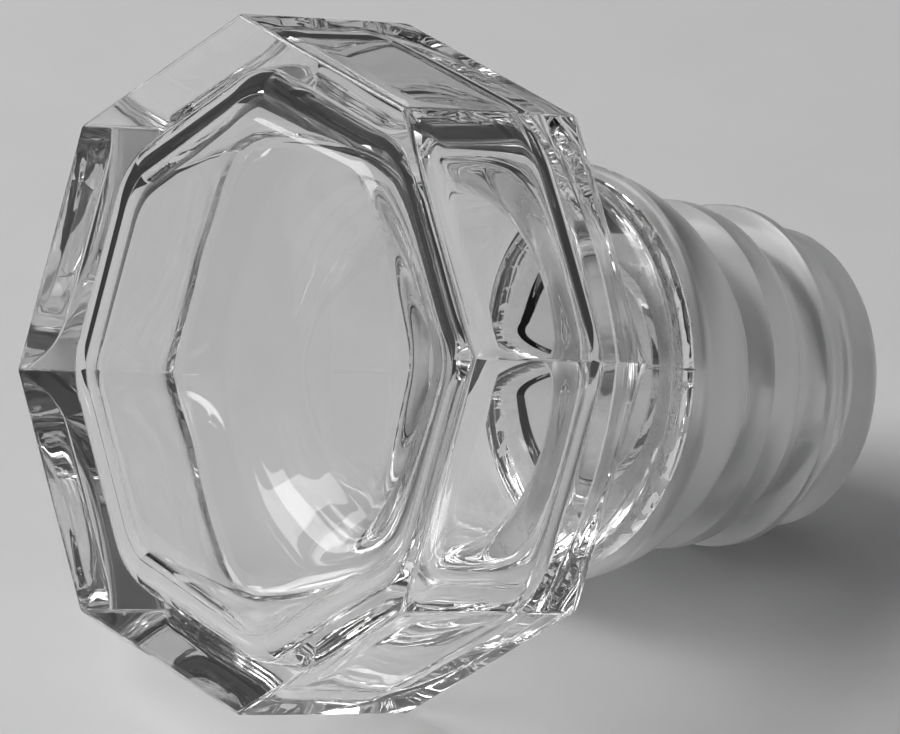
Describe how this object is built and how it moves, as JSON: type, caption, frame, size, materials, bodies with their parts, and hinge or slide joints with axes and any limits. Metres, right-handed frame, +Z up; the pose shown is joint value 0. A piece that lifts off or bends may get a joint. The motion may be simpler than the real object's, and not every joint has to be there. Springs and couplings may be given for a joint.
{
  "type": "glass stopper",
  "caption": "Hollow octagonal clear glass bottle stopper with a round neck and a soft, translucent, ribbed plug seal, lying on its side.",
  "frame": {"origin": "centre of the bounding box's bottom, on the surface that the stopper lies on", "axes": "+X along the length, from the head's face towards the tip of the plug; +Z up; Y across, with the stopper symmetrical about the XZ plane. The stopper's own axis lies in XZ and slopes down towards the tip."},
  "size_m": [0.0636, 0.048, 0.0512],
  "materials": {
    "clear_glass": "clear, colourless pressed glass with soft fire-polished edges and faint mould waves",
    "milky_plastic": "soft, milky, translucent moulded plastic with a satin surface and a fine mould seam"
  },
  "bodies": {
    "root": {"glass_stopper": "clear_glass", "seal_sleeve": "milky_plastic"}
  },
  "joints": []
}
